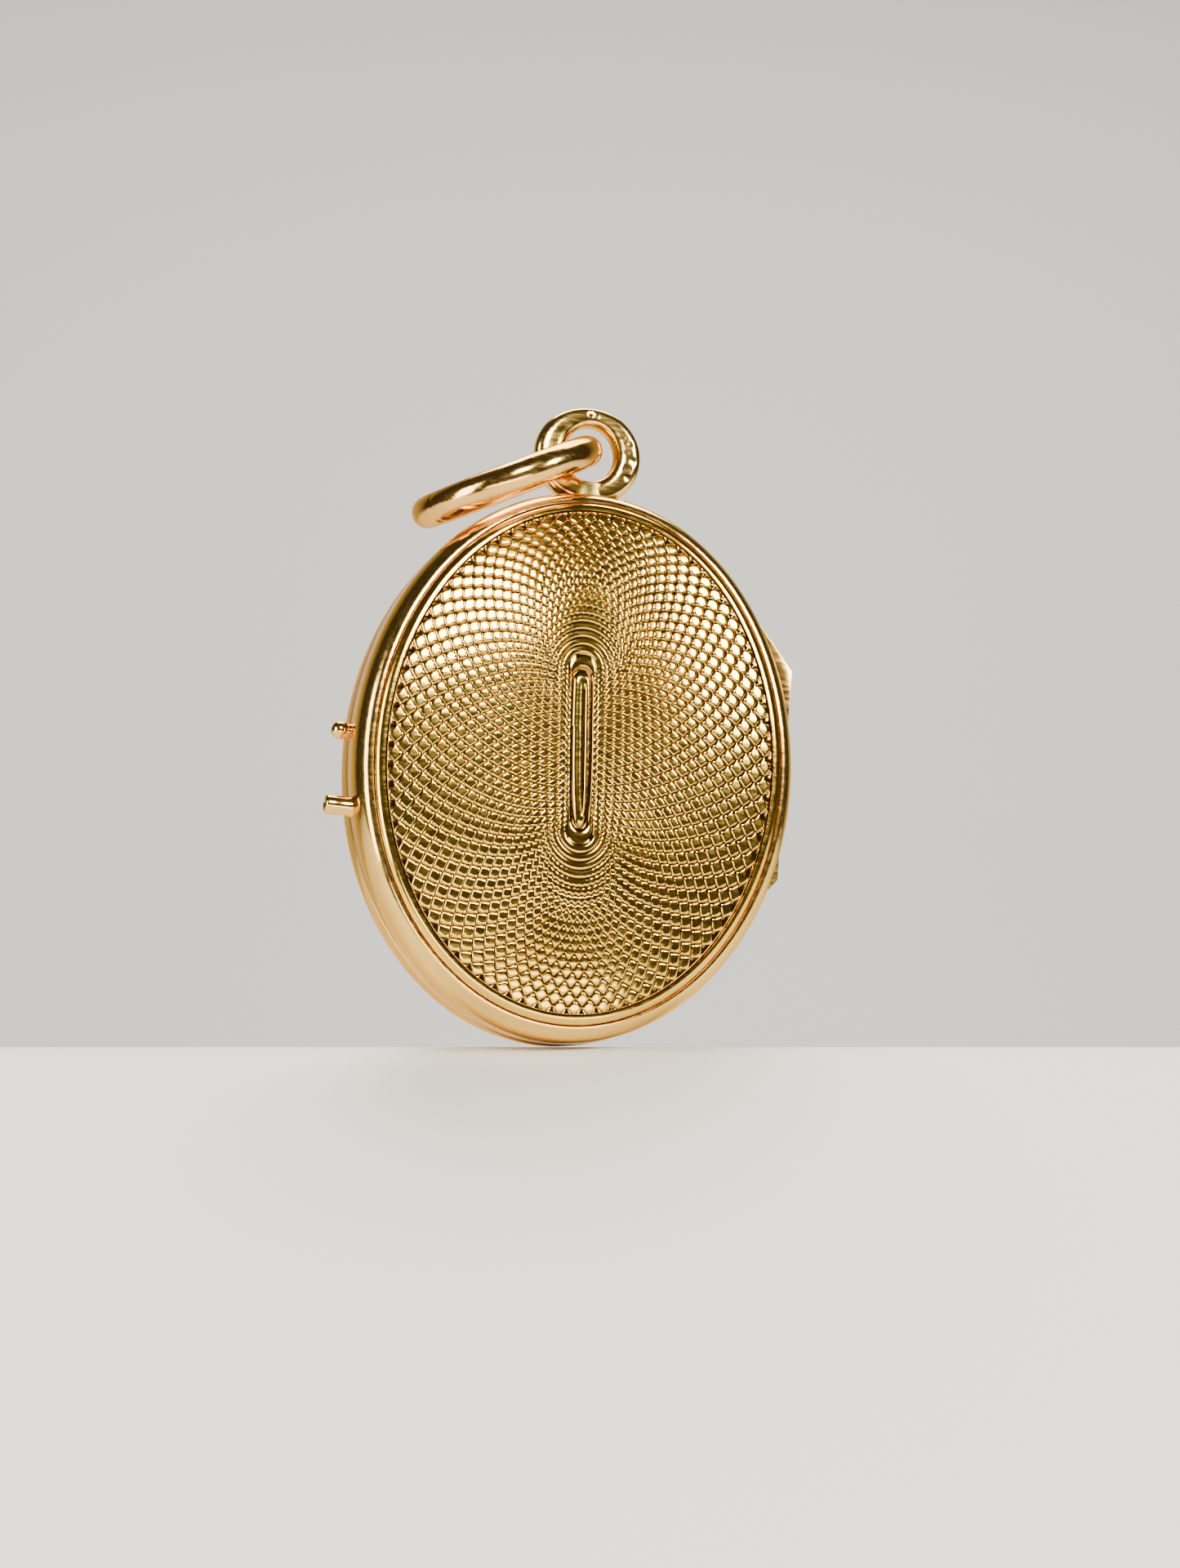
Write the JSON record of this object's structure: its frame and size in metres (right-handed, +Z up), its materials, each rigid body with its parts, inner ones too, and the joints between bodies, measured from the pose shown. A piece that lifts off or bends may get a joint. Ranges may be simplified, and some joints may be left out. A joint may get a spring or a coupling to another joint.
{
  "type": "locket",
  "caption": "Oval hinged locket with domed engine-turned covers, fixed bail and jump ring; opens like a book to hold a picture in each half.",
  "frame": {"origin": "on the axis of the bail's eye, at the plane where the two halves part", "axes": "+Z up along the case, +X to the hinge side, -Y out of the front cover, which is the cover that opens"},
  "size_m": [0.0186, 0.0081, 0.0258],
  "materials": {
    "cover_gold": "engine-turned and polished low-carat gold",
    "band_gold": "hand-polished low-carat gold",
    "hinge_gold": "polished low-carat gold",
    "frame_gilt": "gilt metal, satin",
    "window_film": "clear film",
    "photo_card": "plain cream card",
    "solder": "dull greenish solder",
    "ring_gold": "polished rose gold wire"
  },
  "bodies": {
    "back_half": {"back_cover_plate": "cover_gold", "back_rim_band": "band_gold", "back_closing_lip": "frame_gilt", "back_photo_frame": "frame_gilt", "back_window": "window_film", "back_photo_card": "photo_card", "back_thumb_nib": "band_gold", "back_hinge_bearer": "hinge_gold", "back_hinge_knuckle_top": "hinge_gold", "back_hinge_knuckle_middle": "hinge_gold", "back_hinge_knuckle_bottom": "hinge_gold", "hinge_pin": "hinge_gold", "bail_loop": "band_gold", "bail_foot": "solder"},
    "front_half": {"front_cover_plate": "cover_gold", "front_rim_band": "band_gold", "front_photo_frame": "frame_gilt", "front_window": "window_film", "front_photo_card": "photo_card", "front_thumb_nib": "band_gold", "front_hinge_bearer": "hinge_gold", "front_hinge_knuckle_upper": "hinge_gold", "front_hinge_knuckle_lower": "hinge_gold"},
    "jump_ring": {"jump_ring": "ring_gold"}
  },
  "joints": [
    {"name": "front_cover_opening", "type": "hinge", "parent": "back_half", "child": "front_half", "pos_m": [0.0085, 0, -0.01225], "axis": [0, 0, 1], "range_deg": [0, 150]},
    {"name": "jump_ring_swing", "type": "hinge", "parent": "back_half", "child": "jump_ring", "pos_m": [0, 0.0006, 0], "axis": [0, 1, 0], "range_deg": [0, 234]}
  ]
}
